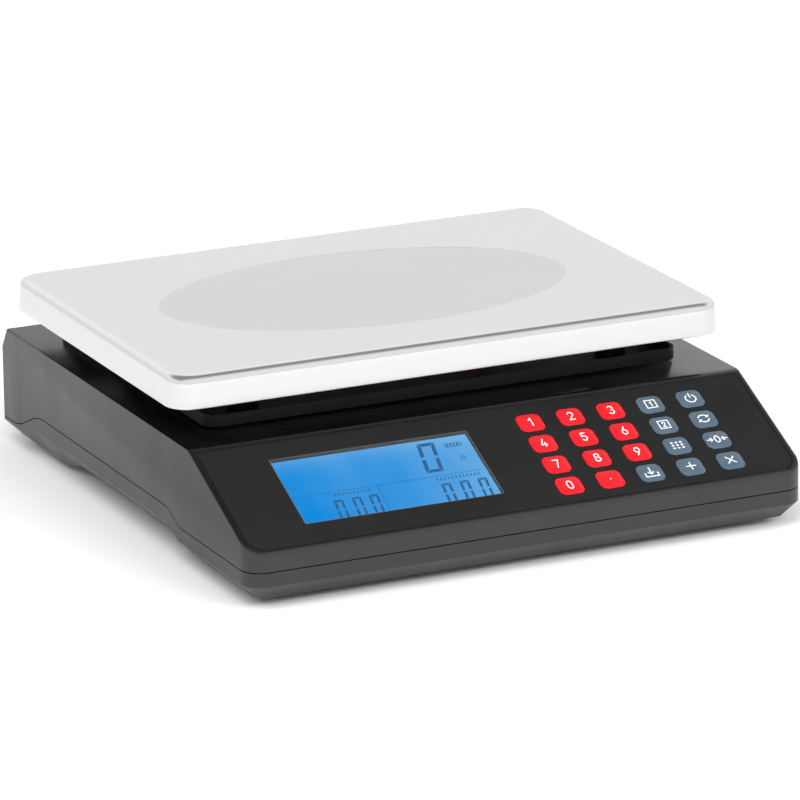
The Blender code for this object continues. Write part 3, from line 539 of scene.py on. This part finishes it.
def stack(bm, rings, closed=False):
    """Skins closed rings of points in their order, then caps the ends or joins the last to the first."""
    loops = [[bm.verts.new(point) for point in ring] for ring in rings]
    for near, far in zip(loops, loops[1:]):
        join_loops(bm, near, far)
    if closed:
        join_loops(bm, loops[-1], loops[0])
    else:
        bm.faces.new(loops[0][::-1])
        bm.faces.new(loops[-1])


def plate(bm, outline, thickness, to_world):
    """A flat plate of any outline, its faces triangulated."""
    low, high = ([bm.verts.new(to_world(p.x, p.y, w)) for p in outline] for w in (0.0, thickness))
    join_loops(bm, low, high)
    bmesh.ops.triangulate(bm, faces=[bm.faces.new(low[::-1]), bm.faces.new(high)])


def rounded_rectangle(half_x, half_y, radius, steps, centre=(0.0, 0.0), side_steps=1):
    """Points of a rectangle with round corners, anticlockwise, its straight sides cut into side_steps."""
    points = []
    for quarter, (sx, sy) in enumerate(((1, 1), (-1, 1), (-1, -1), (1, -1))):
        for step in range(steps + 1):
            angle = math.radians(90 * (quarter + step / steps))
            points.append((centre[0] + sx * (half_x - radius) + radius * math.cos(angle),
                           centre[1] + sy * (half_y - radius) + radius * math.sin(angle)))
    cut = []
    for index, (x, y) in enumerate(points):
        cut.append((x, y))
        if index % (steps + 1) == steps:
            far_x, far_y = points[(index + 1) % len(points)]
            cut += [(x + (far_x - x) * i / side_steps, y + (far_y - y) * i / side_steps)
                    for i in range(1, side_steps)]
    return cut


class Panel:
    """The slanted panel: u to the right, v down the slope, w out of its surface."""

    def __init__(self):
        press = next(j for j in frame["joints"] if j["name"] == "key_5_press")
        self.out = -Vector(press["axis"]).normalized()
        self.down = Vector((0, -self.out.z, self.out.y))
        points = [v.co for v in NODES["front_overlay"].data.vertices]
        self.level = max(p.dot(self.out) for p in points)
        self.top = min(p.dot(self.down) for p in points) - FILM_TOP

    def at(self, u, v, w=0.0):
        return Vector((u, 0, 0)) + self.down * (self.top + v) + self.out * (self.level + w)

    def spot(self, node):
        """The (u, v) of a node's middle, then its width and its depth down the slope."""
        points = [p.co for p in NODES[node].data.vertices]
        us = [p.x for p in points]
        vs = [p.dot(self.down) - self.top for p in points]
        return (min(us) + max(us)) / 2, (min(vs) + max(vs)) / 2, max(us) - min(us), max(vs) - min(vs)


PANEL = Panel()


# ---------------------------------------------------------------- strokes

def arc(cx, cy, rx, ry, start, end, steps=10):
    turns = [math.radians(start + (end - start) * i / steps) for i in range(steps + 1)]
    return [(cx + rx * math.cos(t), cy + ry * math.sin(t)) for t in turns]


def circle(centre, radius):
    return arc(*centre, radius, radius, 0, 360, 20)


def glyphs():
    """Digits and the point as strokes in a box 0.6 wide and 1 high, y upwards."""
    return {
        "0": [arc(0.3, 0.7, 0.25, 0.3, 0, 180) + arc(0.3, 0.3, 0.25, 0.3, 180, 360) + [(0.55, 0.7)]],
        "1": [[(0.16, 0.76), (0.40, 1.0), (0.40, 0.0)]],
        "2": [arc(0.3, 0.74, 0.25, 0.26, 165, -35) + [(0.05, 0.0), (0.56, 0.0)]],
        "3": [arc(0.28, 0.75, 0.24, 0.25, 150, -80) + [(0.26, 0.52)],
              [(0.26, 0.52)] + arc(0.28, 0.26, 0.27, 0.26, 85, -155)],
        "4": [[(0.34, 1.0), (0.04, 0.26), (0.58, 0.26)], [(0.42, 0.52), (0.42, 0.0)]],
        "5": [[(0.52, 1.0), (0.12, 1.0), (0.09, 0.54)] + arc(0.29, 0.31, 0.25, 0.31, 112, -150)],
        "6": [[(0.40, 1.0), (0.10, 0.46)], arc(0.3, 0.3, 0.25, 0.3, 140, 500, 20)],
        "7": [[(0.05, 1.0), (0.56, 1.0), (0.24, 0.0)]],
        "8": [arc(0.3, 0.76, 0.22, 0.24, 0, 360, 20), arc(0.3, 0.26, 0.26, 0.26, 0, 360, 20)],
        "9": [arc(0.3, 0.7, 0.25, 0.3, -40, 320, 20), [(0.50, 0.54), (0.20, 0.0)]],
        "point": [[(0.28, 0.46), (0.32, 0.46)]],
    }


def symbols():
    """Pictograms as strokes in a box about 2 wide and 1.2 high, centred on the origin."""
    square = [(-0.5, -0.5), (0.5, -0.5), (0.5, 0.5), (-0.5, 0.5), (-0.5, -0.5)]
    shelf = [(-0.62, -0.1), (-0.62, -0.55), (0.62, -0.55), (0.62, -0.1)]
    dots = [[(x - 0.03, y), (x + 0.03, y)] for x in (-0.45, 0.0, 0.45) for y in (-0.36, 0.0, 0.36)]
    return {
        "power": [arc(0, -0.05, 0.5, 0.5, 125, 415, 20), [(0, 0.10), (0, 0.62)]],
        "mode": [arc(0, 0, 0.52, 0.46, 160, 20), [(0.28, 0.14), (0.49, 0.15), (0.56, 0.38)],
                 arc(0, 0, 0.52, 0.46, -20, -160), [(-0.28, -0.14), (-0.49, -0.15), (-0.56, -0.38)]],
        "pieces": dots,
        "tare": [[(-0.98, 0), (-0.48, 0)], [(-0.66, 0.2), (-0.46, 0), (-0.66, -0.2)],
                 arc(0, 0, 0.23, 0.42, 0, 360, 18),
                 [(0.98, 0), (0.48, 0)], [(0.66, 0.2), (0.46, 0), (0.66, -0.2)]],
        "save": [shelf, [(0, 0.6), (0, -0.25)], [(-0.26, 0.02), (0, -0.27), (0.26, 0.02)]],
        "add": [[(-0.45, 0), (0.45, 0)], [(0, -0.45), (0, 0.45)]],
        "clear": [[(-0.38, -0.4), (0.38, 0.4)], [(-0.38, 0.4), (0.38, -0.4)]],
        "memory": [square],
    }


def sized(strokes, size, middle=(0.0, 0.0)):
    """Strokes scaled to size, with middle moved to the origin."""
    return [[((x - middle[0]) * size, (y - middle[1]) * size) for x, y in line] for line in strokes]


def direction(start, end):
    step = end - start
    return step.normalized() if step.length > SAME_PLACE else None


def steps_to_left_edge(points, half, closed):
    """The step from each point to the left edge of its stroke, mitred where the stroke turns."""
    count = len(points)
    steps = []
    for i, point in enumerate(points):
        before = points[i - 1] if closed or i > 0 else point
        after = points[(i + 1) % count] if closed or i < count - 1 else point
        first, second = direction(before, point), direction(point, after)
        along = ((first or second) + (second or first)).normalized()
        side = Vector((-along.y, along.x))
        turn = side.dot(Vector((-first.y, first.x))) if first and second else 1.0
        steps.append(side * half / max(0.5, turn))
    return steps


def round_end(centre, side, half):
    """Points round the end of a stroke, from one of its sides to the other."""
    start = math.atan2(side.y, side.x)
    turns = [start + math.pi * i / ROUND_END_STEPS for i in range(1, ROUND_END_STEPS)]
    return [centre + half * Vector((math.cos(turn), math.sin(turn))) for turn in turns]


def ribbon(bm, points, width, thickness, to_world):
    """A flat stroke: a frame where its points close, otherwise a strip with round ends."""
    points = [Vector(p) for p in points]
    closed = (points[0] - points[-1]).length < SAME_PLACE
    if closed:
        points = points[:-1]
    sides = steps_to_left_edge(points, width / 2, closed)
    left = [p + side for p, side in zip(points, sides)]
    right = [p - side for p, side in zip(points, sides)]
    if closed:
        levels = ((right, 0.0), (right, thickness), (left, thickness), (left, 0.0))
        stack(bm, [[to_world(p.x, p.y, w) for p in outline] for outline, w in levels], closed=True)
        return
    start = round_end(points[0], sides[0], width / 2)
    finish = round_end(points[-1], -sides[-1], width / 2)
    plate(bm, left + finish[::-1] + right[::-1] + start[::-1], thickness, to_world)


# ---------------------------------------------------------------- pan

def pan_rings(low, high):
    """Rings of the pan's sheet, from the middle of its face over the bend to the rim and back inside."""
    centre_x, centre_y = (low.x + high.x) / 2, (low.y + high.y) / 2
    half_x, half_y = (high.x - low.x) / 2, (high.y - low.y) / 2
    top = high.z
    turns = [math.radians(90 * i / PAN_BEND_STEPS) for i in range(PAN_BEND_STEPS + 1)]

    def ring(inset, height):
        inset += PAN_DRAFT * (height - low.z) / (high.z - low.z)
        corner = PAN_CORNER - PAN_CORNER_TIGHTENS * inset
        outline = rounded_rectangle(half_x - inset, half_y - inset, corner, PAN_CORNER_STEPS,
                                    (centre_x, centre_y), PAN_SIDE_STEPS)
        return [(x, y, height) for x, y in outline]

    def oval(inset, height):
        points = []
        for x, y, _ in ring(0.0, low.z):
            angle = math.atan2((y - centre_y) / DISH_HALF_Y, (x - centre_x) / DISH_HALF_X)
            points.append((centre_x + (DISH_HALF_X - inset) * math.cos(angle),
                           centre_y + (DISH_HALF_Y - inset) * math.sin(angle), height))
        return points

    def bend(radius, inset, height):
        """The quarter turn from a level face to a wall."""
        return [ring(inset + radius * (1 - math.sin(a)), height - radius * (1 - math.cos(a))) for a in turns]

    rings = [oval(DISH_MIDDLE, top - DISH_DROP - DISH_SAG)]
    for step in range(DISH_SLOPE_STEPS + 1):
        t = step / DISH_SLOPE_STEPS
        rings.append(oval(DISH_SLOPE * (1 - t), top - DISH_DROP * (1 - t * t * (3 - 2 * t))))
    inner, outer = oval(0.0, top), ring(PAN_EDGE, top)
    for share in FACE_SHARES:
        rings.append([tuple(a + (b - a) * share for a, b in zip(p, q)) for p, q in zip(inner, outer)])
    rings += bend(PAN_EDGE, 0.0, top)
    wall = top - PAN_EDGE - low.z
    rings += [ring(0.0, top - PAN_EDGE - wall * share) for share in WALL_SHARES]
    rings += [ring(PAN_RIM, low.z), ring(PAN_SHEET - PAN_RIM, low.z), ring(PAN_SHEET, low.z + PAN_RIM_RISE)]
    rings += bend(PAN_EDGE - PAN_SHEET, PAN_SHEET, top - PAN_SHEET)[::-1]
    rings.append(oval(0.0, top - PAN_SHEET))
    rings.append(oval(DISH_SLOPE, top - PAN_SHEET - DISH_DROP))
    return rings


def make_pan():
    bm = bmesh.new()
    stack(bm, pan_rings(*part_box("weighing_pan")))
    pan = add_piece("pan_sheet", bm, FINISHES["stainless_steel"], "pan")
    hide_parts("weighing_pan")


# ---------------------------------------------------------------- keys

def make_key(name, finish):
    """The embossed cap of a key and the print on its crown."""
    node = f"key_{name}"
    u, v, width, depth = PANEL.spot(node)
    rings = []
    for inset, height in KEY_PROFILE:
        corner = max(KEY_RADIUS - inset, KEY_INNER_RADIUS)
        outline = rounded_rectangle(width / 2 - inset, depth / 2 - inset, corner, KEY_CORNER_STEPS)
        rings.append([PANEL.at(u + x, v - y, height) for x, y in outline])
    bm = bmesh.new()
    stack(bm, rings)
    cap = add_piece(f"keycap_{name}", bm, finish, node)
    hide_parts(node)
    make_legend(name, u, v)


def legend_strokes(name):
    """Strokes and their width: a digit or the point, a digit in a square, or a pictogram."""
    digits, pictures = glyphs(), symbols()
    if name in digits:
        return sized(digits[name], DIGIT_SIZE, DIGIT_MIDDLE), DIGIT_WIDTH
    if name.startswith("memory"):
        digit = sized(digits[name[-1]], FRAMED_DIGIT_SIZE, DIGIT_MIDDLE)
        return sized(pictures["memory"], SYMBOL_SIZE) + digit, FRAME_WIDTH
    return sized(pictures[name], SYMBOL_SIZE), DOT_WIDTH if name == "pieces" else SYMBOL_WIDTH


def make_legend(name, u, v):
    """The print on a key, which moves with it."""
    def on_crown(x, y, w):
        return PANEL.at(u + x, v - y, LEGEND_LEVEL + w)

    strokes, width = legend_strokes(name)
    bm = bmesh.new()
    for points in strokes:
        ribbon(bm, points, width, LEGEND_DEPTH, on_crown)
    add_piece(f"legend_{name}", bm, WHITE_INK, f"key_{name}")


# ---------------------------------------------------------------- display

def on_lcd(u, v, w):
    return PANEL.at(u, v, -LCD_DEPTH + LCD_INK_LIFT + w)


def segment_zero(bm, left, top, width, height, thickness, slant):
    """A seven-segment 0 with mitred bars; left and top are the panel place of its upper left corner."""
    middle = Vector((width / 2, height / 2))

    def slanted(x, y, w):
        drop = height - y
        return on_lcd(left + x - slant * drop, top + drop, w)

    for (x0, y0), (x1, y1) in ZERO_BARS:
        start, end = Vector((x0 * width, y0 * height)), Vector((x1 * width, y1 * height))
        along = (end - start).normalized()
        inward = Vector((-along.y, along.x))
        if (middle - start).dot(inward) < 0:
            inward = -inward
        ends = []
        for point, run, level in ((start, along, y0), (end, -along, y1)):
            gap, cut = (MIDDLE_GAP, MIDDLE_CUT) if level == 0.5 else (CORNER_GAP, CORNER_CUT)
            near = point + run * gap * thickness
            ends.append((near, near + (inward + run * cut) * thickness))
        (start_near, start_far), (end_near, end_far) = ends
        plate(bm, [start_near, end_near, end_far, start_far], LCD_INK_DEPTH, slanted)


def lcd_strokes():
    """The display's rules, battery, two round signs and rows of caption bars, as (points, width)."""
    left, right, top, bottom = BATTERY
    frame_line = [(left, top), (right, top), (right, bottom), (left, bottom), (left, top)]
    cell_top, cell_base = top + BATTERY_INSET, bottom - BATTERY_INSET
    tip = right + BATTERY_TIP
    u, v = ZERO_SIGN
    strokes = [(rule, RULE_WIDTH) for rule in RULES]
    strokes.append((frame_line, BATTERY_WIDTH))
    strokes.append(([(tip, cell_top), (tip, cell_base)], BATTERY_TIP_WIDTH))
    strokes += [([(x, cell_top), (x, cell_base)], BATTERY_CELL_WIDTH) for x in BATTERY_CELLS]
    strokes.append((circle(STABLE_SIGN, STABLE_RADIUS), STABLE_WIDTH))
    strokes.append((circle(ZERO_SIGN, ZERO_RADIUS), ZERO_WIDTH))
    strokes.append(([(u, v - ZERO_RADIUS), (u, v - ZERO_RADIUS - ZERO_TAIL)], ZERO_WIDTH))
    for start, count in CAPTIONS:
        places = [start + index * CAPTION_PITCH for index in range(count)]
        strokes += [([(x, CAPTION_TOP), (x, CAPTION_BASE)], CAPTION_WIDTH) for x in places]
    return strokes


def make_lcd_marks():
    """Everything that the display shows, as one flat piece."""
    bm = bmesh.new()
    segment_zero(bm, *BIG_ZERO, *BIG_ZERO_SHAPE)
    for left in SMALL_ZERO_LEFTS:
        segment_zero(bm, left, SMALL_ZERO_TOP, *SMALL_ZERO_SHAPE)
    for points, width in lcd_strokes():
        ribbon(bm, points, width, LCD_INK_DEPTH, on_lcd)
    add_piece("lcd_segments", bm, LCD_INK, "base")


def window_ring(inset, depth):
    """The outline of the film's window, drawn in by inset, at a depth below the film."""
    left, right, top, bottom = WINDOW
    outline = rounded_rectangle((right - left) / 2 - inset, (bottom - top) / 2 - inset, WINDOW_CORNER - inset,
                                WINDOW_CORNER_STEPS, ((left + right) / 2, (top + bottom) / 2))
    return [PANEL.at(u, v, -depth) for u, v in outline]


def make_pane():
    """The clear pane in the film's window, its rim softened."""
    profile = ((PANE_GAP + 0.7 * PANE_RIM, PANE_BASE), (PANE_GAP, PANE_BASE - 0.6 * PANE_RIM),
               (PANE_GAP, PANE_TOP + PANE_RIM), (PANE_GAP + PANE_RIM, PANE_TOP))
    bm = bmesh.new()
    stack(bm, [window_ring(inset, depth) for inset, depth in profile])
    pane = add_piece("display_pane", bm, FINISHES["lens_clear"], "base")
    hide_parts("display_lens")


def make_gasket():
    """The frame round the pane and the display, seen as the wall of the window."""
    profile = ((GASKET_INNER, GASKET_TOP), (GASKET_INNER, GASKET_BASE),
               (GASKET_OUTER, GASKET_BASE), (GASKET_OUTER, GASKET_TOP))
    bm = bmesh.new()
    stack(bm, [window_ring(inset, depth) for inset, depth in profile], closed=True)
    add_piece("window_gasket", bm, GASKET, "base")


# ---------------------------------------------------------------- screws

def hexagon(angle, reach):
    """Distance from the middle to a hexagon's edge, its flats reach away."""
    return reach / math.cos((angle + math.pi / 6) % (math.pi / 3) - math.pi / 6)


def cross(angle, reach):
    """Distance from the middle to the edge of a cross with arms of length reach."""
    off = abs((angle + math.pi / 4) % (math.pi / 2) - math.pi / 4)
    if off < 1.05 * CROSS_ARM:
        return reach / math.cos(off)
    return reach * math.tan(CROSS_ARM) / math.sin(off)


def make_screw(node, body, head, shank, recess, out):
    """A screw whose head faces up or down (out is 1 or -1), with a hexagonal or crossed recess."""
    low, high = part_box(node)
    centre_x, centre_y = (low.x + high.x) / 2, (low.y + high.y) / 2
    radius = (high.x - low.x) / 2
    shaft = radius * shank
    top, tip = (high.z, low.z) if out > 0 else (low.z, high.z)
    seat, soft = top - out * head, HEAD_SOFT * head
    turns = [2 * math.pi * i / SCREW_STEPS for i in range(SCREW_STEPS)]

    def ring(reaches, z):
        return [(centre_x + r * math.cos(a), centre_y + r * math.sin(a), z) for r, a in zip(reaches, turns)]

    profile = [(SCREW_TIP * shaft, tip), (shaft, tip + out * SCREW_TAPER * shaft), (shaft, seat),
               (radius, seat), (radius, top - out * soft), (radius - soft, top)]
    hollow = [recess(a, RECESS_REACH * radius) for a in turns]
    rings = [ring([reach] * SCREW_STEPS, z) for reach, z in profile]
    rings += [ring(hollow, top), ring(hollow, top - out * RECESS_DEPTH * head)]
    bm = bmesh.new()
    stack(bm, rings)
    screw = add_piece(f"{node}_driven", bm, FINISHES["zinc_steel"], body)
    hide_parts(node)


def make_screws():
    for number in (1, 2):
        make_screw(f"cell_bolt_base_{number}", "base", BOLT_HEAD, BOLT_SHANK, hexagon, -1)
        make_screw(f"cell_bolt_top_{number}", "platform", BOLT_HEAD, BOLT_SHANK, hexagon, 1)
    for corner in ("front_left", "front_right", "rear_left", "rear_right"):
        make_screw(f"case_screw_{corner}", "base", SCREW_HEAD, SCREW_SHANK, cross, -1)


# ---------------------------------------------------------------- carried-over nodes

def smooth_group():
    """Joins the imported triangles' corners and shades them smooth up to SMOOTH_ANGLE."""
    group = bpy.data.node_groups.new("joined_and_smooth", "GeometryNodeTree")
    group.interface.new_socket("Geometry", in_out="INPUT", socket_type="NodeSocketGeometry")
    group.interface.new_socket("Geometry", in_out="OUTPUT", socket_type="NodeSocketGeometry")
    add, link = group.nodes.new, group.links.new
    start, end = add("NodeGroupInput"), add("NodeGroupOutput")
    merge = add("GeometryNodeMergeByDistance")
    merge.inputs["Distance"].default_value = SAME_PLACE
    faces = add("GeometryNodeSetShadeSmooth")
    faces.domain = "FACE"
    edges = add("GeometryNodeSetShadeSmooth")
    edges.domain = "EDGE"
    edges.inputs["Shade Smooth"].default_value = False
    angle = add("GeometryNodeInputMeshEdgeAngle")
    over = add("FunctionNodeCompare")
    over.data_type = "FLOAT"
    over.operation = "GREATER_THAN"
    over.inputs["B"].default_value = SMOOTH_ANGLE
    link(start.outputs["Geometry"], merge.inputs["Geometry"])
    link(merge.outputs["Geometry"], faces.inputs["Geometry"])
    link(faces.outputs["Geometry"], edges.inputs["Geometry"])
    link(angle.outputs["Unsigned Angle"], over.inputs["A"])
    link(over.outputs["Result"], edges.inputs["Selection"])
    link(edges.outputs["Geometry"], end.inputs["Geometry"])
    return group


def dress_nodes():
    """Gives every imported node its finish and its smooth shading."""
    group = smooth_group()
    slots = {row["node"]: row["material_slot"] for row in frame["record"]["subparts"]}
    for name, node in NODES.items():
        node.data.materials.clear()
        node.data.materials.append(FINISHES[slots[name]])
        step = node.modifiers.new("shading", "NODES")
        step.node_group = group


# ---------------------------------------------------------------- studio

def make_floor():
    bm = bmesh.new()
    bm.faces.new([bm.verts.new((sx * FLOOR_HALF, sy * FLOOR_HALF, 0.0))
                  for sx, sy in ((-1, -1), (1, -1), (1, 1), (-1, 1))])
    floor = add_mesh("floor", bm, floor_finish())


def make_sky():
    """A grey sky, brightest near the horizon and towards the front, darker overhead."""
    world = bpy.data.worlds.new("studio")
    bpy.context.scene.world = world
    world.use_nodes = True
    add, link = world.node_tree.nodes.new, world.node_tree.links.new
    place = add("ShaderNodeTexCoord")
    split = add("ShaderNodeSeparateXYZ")
    link(place.outputs["Generated"], split.inputs["Vector"])
    ramp = add("ShaderNodeValToRGB")
    link(split.outputs["Z"], ramp.inputs["Fac"])
    elements = ramp.color_ramp.elements
    elements[-1].position = SKY[-1][0]
    for height, _ in SKY[1:-1]:
        elements.new(height)
    for element, (_, grey) in zip(elements, SKY):
        element.color = (grey, grey, grey, 1.0)
    front = add("ShaderNodeMapRange")
    link(split.outputs["Y"], front.inputs["Value"])
    front.inputs["From Min"].default_value = FRONT_SKY_STARTS
    front.inputs["From Max"].default_value = FRONT_SKY_FULL
    front.inputs["To Max"].default_value = FRONT_SKY
    brighter = add("ShaderNodeMath")
    brighter.operation = "MAXIMUM"
    link(ramp.outputs["Color"], brighter.inputs[0])
    link(front.outputs["Result"], brighter.inputs[1])
    background = world.node_tree.nodes["Background"]
    link(brighter.outputs["Value"], background.inputs["Color"])
    background.inputs["Strength"].default_value = SKY_STRENGTH


def make_light(name, place, target, size, power):
    """A rectangular lamp that mirrors in nothing."""
    data = bpy.data.lights.new(name, "AREA")
    data.shape = "RECTANGLE"
    data.size, data.size_y = size
    data.energy = power
    made = bpy.data.objects.new(name, data)
    bpy.context.scene.collection.objects.link(made)
    made.location = place
    made.rotation_euler = (Vector(target) - Vector(place)).to_track_quat("-Z", "Y").to_euler()
    made.visible_glossy = False


def make_studio():
    make_floor()
    make_sky()
    for name, settings in LIGHTS.items():
        make_light(name, *settings)
    bpy.context.scene.view_settings.view_transform = "Standard"


def make_camera():
    """A long lens that looks down at the scale from its front left."""
    back = Vector((math.sin(VIEW_YAW) * math.cos(VIEW_PITCH), -math.cos(VIEW_YAW) * math.cos(VIEW_PITCH),
                   math.sin(VIEW_PITCH)))
    right = Vector((math.cos(VIEW_YAW), math.sin(VIEW_YAW), 0))
    up = back.cross(right)
    turned_right = right * math.cos(VIEW_ROLL) + up * math.sin(VIEW_ROLL)
    turned_up = up * math.cos(VIEW_ROLL) - right * math.sin(VIEW_ROLL)
    data = bpy.data.cameras.new("camera")
    data.lens = VIEW_LENS
    data.sensor_width = SENSOR_WIDTH
    data.clip_end = VIEW_END
    camera = bpy.data.objects.new("camera", data)
    bpy.context.scene.collection.objects.link(camera)
    axes = Matrix((turned_right, turned_up, back)).transposed().to_4x4()
    camera.matrix_world = Matrix.Translation(VIEW_TARGET + back * VIEW_DISTANCE) @ axes
    bpy.context.scene.camera = camera


def main():
    make_camera()
    dress_nodes()
    make_pan()
    for name in RED_KEYS:
        make_key(name, FINISHES["key_red"])
    for name in SLATE_KEYS:
        make_key(name, FINISHES["key_slate"])
    make_lcd_marks()
    make_pane()
    make_gasket()
    make_screws()
    make_studio()


main()
